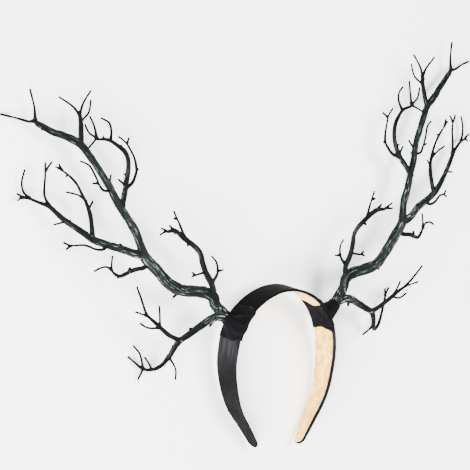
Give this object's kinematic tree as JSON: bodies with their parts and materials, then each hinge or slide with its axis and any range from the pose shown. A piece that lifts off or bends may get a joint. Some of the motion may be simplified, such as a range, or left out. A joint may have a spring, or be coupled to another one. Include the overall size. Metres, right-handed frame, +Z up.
{
  "type": "branch headband",
  "caption": "Costume headband: a fabric covered hoop with a beige lining and a dark bare branch bound to each side with black tape.",
  "frame": {"origin": "on the surface that the headband lies on, under the middle of its outer box", "axes": "+X to the wearer's left, through the longest extent; +Y from the tips of the hoop to the tops of the branches; +Z up from the surface, out of the front of the headband. Left and right in the names are as one looks at the front."},
  "size_m": [0.5726, 0.3416, 0.0347],
  "materials": {
    "band_fabric": "satin",
    "suede": "brushed",
    "branch": "satin",
    "tape": "satin"
  },
  "bodies": {
    "root": {"band": "band_fabric", "lining": "suede", "left_antler": "branch", "right_antler": "branch", "left_binding": "tape", "right_binding": "tape"}
  },
  "joints": []
}
